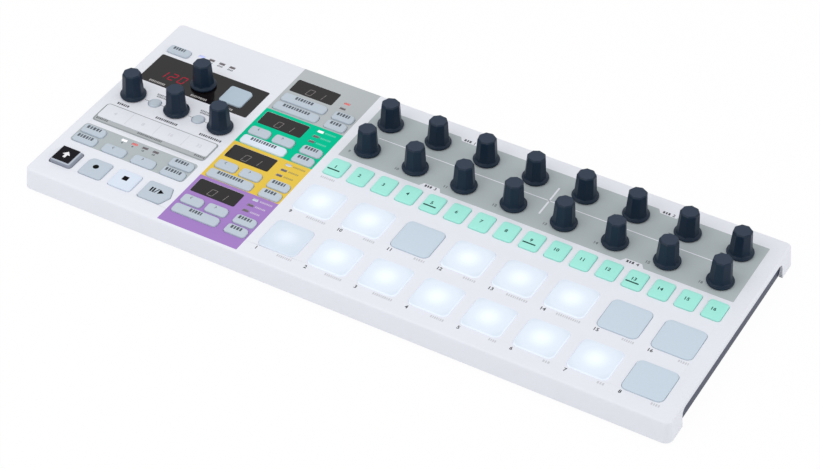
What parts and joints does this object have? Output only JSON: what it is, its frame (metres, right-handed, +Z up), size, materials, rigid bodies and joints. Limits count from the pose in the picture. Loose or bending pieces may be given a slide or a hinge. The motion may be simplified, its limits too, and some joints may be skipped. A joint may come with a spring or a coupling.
{
  "type": "step sequencer",
  "caption": "Low desktop music sequencer with turning knobs, lit step keys, pressure pads, function keys, displays and a touch strip on a white case with dark sides.",
  "frame": {"origin": "centre of the case's footprint on the desk, at the underside of the feet", "axes": "+X to the player's right along the case, +Y from the player to the rear sockets, +Z up"},
  "size_m": [0.4142, 0.1656, 0.0326],
  "materials": {
    "cover_white": "fine satin moulding, printed in places",
    "pan_charcoal": "dark blue-grey powder coat",
    "foot_rubber": "matt black rubber",
    "screw_steel": "zinc-plated steel",
    "board_green": "solder mask",
    "encoder_metal": "die-cast and plain",
    "module_black": "moulded display body",
    "window_smoke": "dark polished window with lit digits",
    "lens_clear": "milky clear lens",
    "strip_white": "smooth satin touch surface",
    "jack_black": "moulded socket body",
    "socket_steel": "folded nickel-plated shell",
    "pad_silicone": "translucent silicone, lit from below",
    "key_silicone": "pale grey silicone",
    "shift_black": "black top on pale flanks",
    "step_silicone": "translucent silicone, lit mint green",
    "knob_charcoal": "soft-touch dark blue-grey"
  },
  "bodies": {
    "case": {"top_cover": "cover_white", "base_pan": "pan_charcoal", "rear_panel": "pan_charcoal", "rubber_feet": "foot_rubber", "case_fasteners": "screw_steel", "main_board": "board_green", "encoder_bodies": "encoder_metal", "display_modules": "module_black", "display_windows": "window_smoke", "light_pipes": "lens_clear", "touch_strip": "strip_white", "jack_sockets": "jack_black", "usb_socket": "socket_steel"},
    "pad_mat": {"pad_mat": "pad_silicone"},
    "left_keys": {"left_keys": "key_silicone"},
    "project_keys": {"project_keys": "key_silicone"},
    "track_keys_1": {"track_keys_1": "key_silicone"},
    "track_keys_2": {"track_keys_2": "key_silicone"},
    "drum_keys": {"drum_keys": "key_silicone"},
    "shift_key": {"shift_key": "shift_black"},
    "record_key": {"record_key": "key_silicone"},
    "stop_key": {"stop_key": "key_silicone"},
    "play_key": {"play_key": "key_silicone"},
    "tap_key": {"tap_key": "key_silicone"},
    "step_key_1": {"step_key_1": "step_silicone"},
    "step_key_2": {"step_key_2": "step_silicone"},
    "step_key_3": {"step_key_3": "step_silicone"},
    "step_key_4": {"step_key_4": "step_silicone"},
    "step_key_5": {"step_key_5": "step_silicone"},
    "step_key_6": {"step_key_6": "step_silicone"},
    "step_key_7": {"step_key_7": "step_silicone"},
    "step_key_8": {"step_key_8": "step_silicone"},
    "step_key_9": {"step_key_9": "step_silicone"},
    "step_key_10": {"step_key_10": "step_silicone"},
    "step_key_11": {"step_key_11": "step_silicone"},
    "step_key_12": {"step_key_12": "step_silicone"},
    "step_key_13": {"step_key_13": "step_silicone"},
    "step_key_14": {"step_key_14": "step_silicone"},
    "step_key_15": {"step_key_15": "step_silicone"},
    "step_key_16": {"step_key_16": "step_silicone"},
    "tempo_knob": {"tempo_knob": "knob_charcoal"},
    "groove_knob_1": {"groove_knob_1": "knob_charcoal"},
    "groove_knob_2": {"groove_knob_2": "knob_charcoal"},
    "groove_knob_3": {"groove_knob_3": "knob_charcoal"},
    "field_knob_1": {"field_knob_1": "knob_charcoal"},
    "field_knob_2": {"field_knob_2": "knob_charcoal"},
    "field_knob_3": {"field_knob_3": "knob_charcoal"},
    "field_knob_4": {"field_knob_4": "knob_charcoal"},
    "field_knob_5": {"field_knob_5": "knob_charcoal"},
    "field_knob_6": {"field_knob_6": "knob_charcoal"},
    "field_knob_7": {"field_knob_7": "knob_charcoal"},
    "field_knob_8": {"field_knob_8": "knob_charcoal"},
    "field_knob_9": {"field_knob_9": "knob_charcoal"},
    "field_knob_10": {"field_knob_10": "knob_charcoal"},
    "field_knob_11": {"field_knob_11": "knob_charcoal"},
    "field_knob_12": {"field_knob_12": "knob_charcoal"},
    "field_knob_13": {"field_knob_13": "knob_charcoal"},
    "field_knob_14": {"field_knob_14": "knob_charcoal"},
    "field_knob_15": {"field_knob_15": "knob_charcoal"},
    "field_knob_16": {"field_knob_16": "knob_charcoal"}
  },
  "joints": [
    {"name": "tempo_knob_turn", "type": "hinge", "parent": "case", "child": "tempo_knob", "pos_m": [-0.15895, 0.0357, 0.0161], "axis": [0, 0, 1], "continuous": true},
    {"name": "groove_knob_1_turn", "type": "hinge", "parent": "case", "child": "groove_knob_1", "pos_m": [-0.18995, 0.0065, 0.0161], "axis": [0, 0, 1], "continuous": true},
    {"name": "groove_knob_2_turn", "type": "hinge", "parent": "case", "child": "groove_knob_2", "pos_m": [-0.15895, 0.0065, 0.0161], "axis": [0, 0, 1], "continuous": true},
    {"name": "groove_knob_3_turn", "type": "hinge", "parent": "case", "child": "groove_knob_3", "pos_m": [-0.12795, 0.0065, 0.0161], "axis": [0, 0, 1], "continuous": true},
    {"name": "field_knob_1_turn", "type": "hinge", "parent": "case", "child": "field_knob_1", "pos_m": [-0.04192, 0.0591, 0.0161], "axis": [0, 0, 1], "continuous": true},
    {"name": "field_knob_2_turn", "type": "hinge", "parent": "case", "child": "field_knob_2", "pos_m": [-0.00978, 0.0591, 0.0161], "axis": [0, 0, 1], "continuous": true},
    {"name": "field_knob_3_turn", "type": "hinge", "parent": "case", "child": "field_knob_3", "pos_m": [0.02237, 0.0591, 0.0161], "axis": [0, 0, 1], "continuous": true},
    {"name": "field_knob_4_turn", "type": "hinge", "parent": "case", "child": "field_knob_4", "pos_m": [0.05452, 0.0591, 0.0161], "axis": [0, 0, 1], "continuous": true},
    {"name": "field_knob_5_turn", "type": "hinge", "parent": "case", "child": "field_knob_5", "pos_m": [0.08668, 0.0591, 0.0161], "axis": [0, 0, 1], "continuous": true},
    {"name": "field_knob_6_turn", "type": "hinge", "parent": "case", "child": "field_knob_6", "pos_m": [0.11883, 0.0591, 0.0161], "axis": [0, 0, 1], "continuous": true},
    {"name": "field_knob_7_turn", "type": "hinge", "parent": "case", "child": "field_knob_7", "pos_m": [0.15097, 0.0591, 0.0161], "axis": [0, 0, 1], "continuous": true},
    {"name": "field_knob_8_turn", "type": "hinge", "parent": "case", "child": "field_knob_8", "pos_m": [0.18313, 0.0591, 0.0161], "axis": [0, 0, 1], "continuous": true},
    {"name": "field_knob_9_turn", "type": "hinge", "parent": "case", "child": "field_knob_9", "pos_m": [-0.04192, 0.0319, 0.0161], "axis": [0, 0, 1], "continuous": true},
    {"name": "field_knob_10_turn", "type": "hinge", "parent": "case", "child": "field_knob_10", "pos_m": [-0.00978, 0.0319, 0.0161], "axis": [0, 0, 1], "continuous": true},
    {"name": "field_knob_11_turn", "type": "hinge", "parent": "case", "child": "field_knob_11", "pos_m": [0.02237, 0.0319, 0.0161], "axis": [0, 0, 1], "continuous": true},
    {"name": "field_knob_12_turn", "type": "hinge", "parent": "case", "child": "field_knob_12", "pos_m": [0.05452, 0.0319, 0.0161], "axis": [0, 0, 1], "continuous": true},
    {"name": "field_knob_13_turn", "type": "hinge", "parent": "case", "child": "field_knob_13", "pos_m": [0.08668, 0.0319, 0.0161], "axis": [0, 0, 1], "continuous": true},
    {"name": "field_knob_14_turn", "type": "hinge", "parent": "case", "child": "field_knob_14", "pos_m": [0.11883, 0.0319, 0.0161], "axis": [0, 0, 1], "continuous": true},
    {"name": "field_knob_15_turn", "type": "hinge", "parent": "case", "child": "field_knob_15", "pos_m": [0.15097, 0.0319, 0.0161], "axis": [0, 0, 1], "continuous": true},
    {"name": "field_knob_16_turn", "type": "hinge", "parent": "case", "child": "field_knob_16", "pos_m": [0.18313, 0.0319, 0.0161], "axis": [0, 0, 1], "continuous": true},
    {"name": "shift_key_press", "type": "slide", "parent": "case", "child": "shift_key", "axis": [0, 0, 1], "range_m": [-0.001, 0], "stiffness_N_per_m": 400, "springref_m": 0.0005},
    {"name": "record_key_press", "type": "slide", "parent": "case", "child": "record_key", "axis": [0, 0, 1], "range_m": [-0.001, 0], "stiffness_N_per_m": 400, "springref_m": 0.0005},
    {"name": "stop_key_press", "type": "slide", "parent": "case", "child": "stop_key", "axis": [0, 0, 1], "range_m": [-0.001, 0], "stiffness_N_per_m": 400, "springref_m": 0.0005},
    {"name": "play_key_press", "type": "slide", "parent": "case", "child": "play_key", "axis": [0, 0, 1], "range_m": [-0.001, 0], "stiffness_N_per_m": 400, "springref_m": 0.0005},
    {"name": "tap_key_press", "type": "slide", "parent": "case", "child": "tap_key", "axis": [0, 0, 1], "range_m": [-0.001, 0], "stiffness_N_per_m": 400, "springref_m": 0.0005},
    {"name": "step_key_1_press", "type": "slide", "parent": "case", "child": "step_key_1", "axis": [0, 0, 1], "range_m": [-0.001, 0], "stiffness_N_per_m": 400, "springref_m": 0.0005},
    {"name": "step_key_2_press", "type": "slide", "parent": "case", "child": "step_key_2", "axis": [0, 0, 1], "range_m": [-0.001, 0], "stiffness_N_per_m": 400, "springref_m": 0.0005},
    {"name": "step_key_3_press", "type": "slide", "parent": "case", "child": "step_key_3", "axis": [0, 0, 1], "range_m": [-0.001, 0], "stiffness_N_per_m": 400, "springref_m": 0.0005},
    {"name": "step_key_4_press", "type": "slide", "parent": "case", "child": "step_key_4", "axis": [0, 0, 1], "range_m": [-0.001, 0], "stiffness_N_per_m": 400, "springref_m": 0.0005},
    {"name": "step_key_5_press", "type": "slide", "parent": "case", "child": "step_key_5", "axis": [0, 0, 1], "range_m": [-0.001, 0], "stiffness_N_per_m": 400, "springref_m": 0.0005},
    {"name": "step_key_6_press", "type": "slide", "parent": "case", "child": "step_key_6", "axis": [0, 0, 1], "range_m": [-0.001, 0], "stiffness_N_per_m": 400, "springref_m": 0.0005},
    {"name": "step_key_7_press", "type": "slide", "parent": "case", "child": "step_key_7", "axis": [0, 0, 1], "range_m": [-0.001, 0], "stiffness_N_per_m": 400, "springref_m": 0.0005},
    {"name": "step_key_8_press", "type": "slide", "parent": "case", "child": "step_key_8", "axis": [0, 0, 1], "range_m": [-0.001, 0], "stiffness_N_per_m": 400, "springref_m": 0.0005},
    {"name": "step_key_9_press", "type": "slide", "parent": "case", "child": "step_key_9", "axis": [0, 0, 1], "range_m": [-0.001, 0], "stiffness_N_per_m": 400, "springref_m": 0.0005},
    {"name": "step_key_10_press", "type": "slide", "parent": "case", "child": "step_key_10", "axis": [0, 0, 1], "range_m": [-0.001, 0], "stiffness_N_per_m": 400, "springref_m": 0.0005},
    {"name": "step_key_11_press", "type": "slide", "parent": "case", "child": "step_key_11", "axis": [0, 0, 1], "range_m": [-0.001, 0], "stiffness_N_per_m": 400, "springref_m": 0.0005},
    {"name": "step_key_12_press", "type": "slide", "parent": "case", "child": "step_key_12", "axis": [0, 0, 1], "range_m": [-0.001, 0], "stiffness_N_per_m": 400, "springref_m": 0.0005},
    {"name": "step_key_13_press", "type": "slide", "parent": "case", "child": "step_key_13", "axis": [0, 0, 1], "range_m": [-0.001, 0], "stiffness_N_per_m": 400, "springref_m": 0.0005},
    {"name": "step_key_14_press", "type": "slide", "parent": "case", "child": "step_key_14", "axis": [0, 0, 1], "range_m": [-0.001, 0], "stiffness_N_per_m": 400, "springref_m": 0.0005},
    {"name": "step_key_15_press", "type": "slide", "parent": "case", "child": "step_key_15", "axis": [0, 0, 1], "range_m": [-0.001, 0], "stiffness_N_per_m": 400, "springref_m": 0.0005},
    {"name": "step_key_16_press", "type": "slide", "parent": "case", "child": "step_key_16", "axis": [0, 0, 1], "range_m": [-0.001, 0], "stiffness_N_per_m": 400, "springref_m": 0.0005},
    {"name": "left_keys_press", "type": "slide", "parent": "case", "child": "left_keys", "axis": [0, 0, 1], "range_m": [-0.001, 0], "stiffness_N_per_m": 400, "springref_m": 0.0005},
    {"name": "project_keys_press", "type": "slide", "parent": "case", "child": "project_keys", "axis": [0, 0, 1], "range_m": [-0.001, 0], "stiffness_N_per_m": 400, "springref_m": 0.0005},
    {"name": "track_keys_1_press", "type": "slide", "parent": "case", "child": "track_keys_1", "axis": [0, 0, 1], "range_m": [-0.001, 0], "stiffness_N_per_m": 400, "springref_m": 0.0005},
    {"name": "track_keys_2_press", "type": "slide", "parent": "case", "child": "track_keys_2", "axis": [0, 0, 1], "range_m": [-0.001, 0], "stiffness_N_per_m": 400, "springref_m": 0.0005},
    {"name": "drum_keys_press", "type": "slide", "parent": "case", "child": "drum_keys", "axis": [0, 0, 1], "range_m": [-0.001, 0], "stiffness_N_per_m": 400, "springref_m": 0.0005},
    {"name": "pad_mat_press", "type": "slide", "parent": "case", "child": "pad_mat", "axis": [0, 0, 1], "range_m": [-0.0006, 0], "stiffness_N_per_m": 3000, "springref_m": 0.0006}
  ]
}
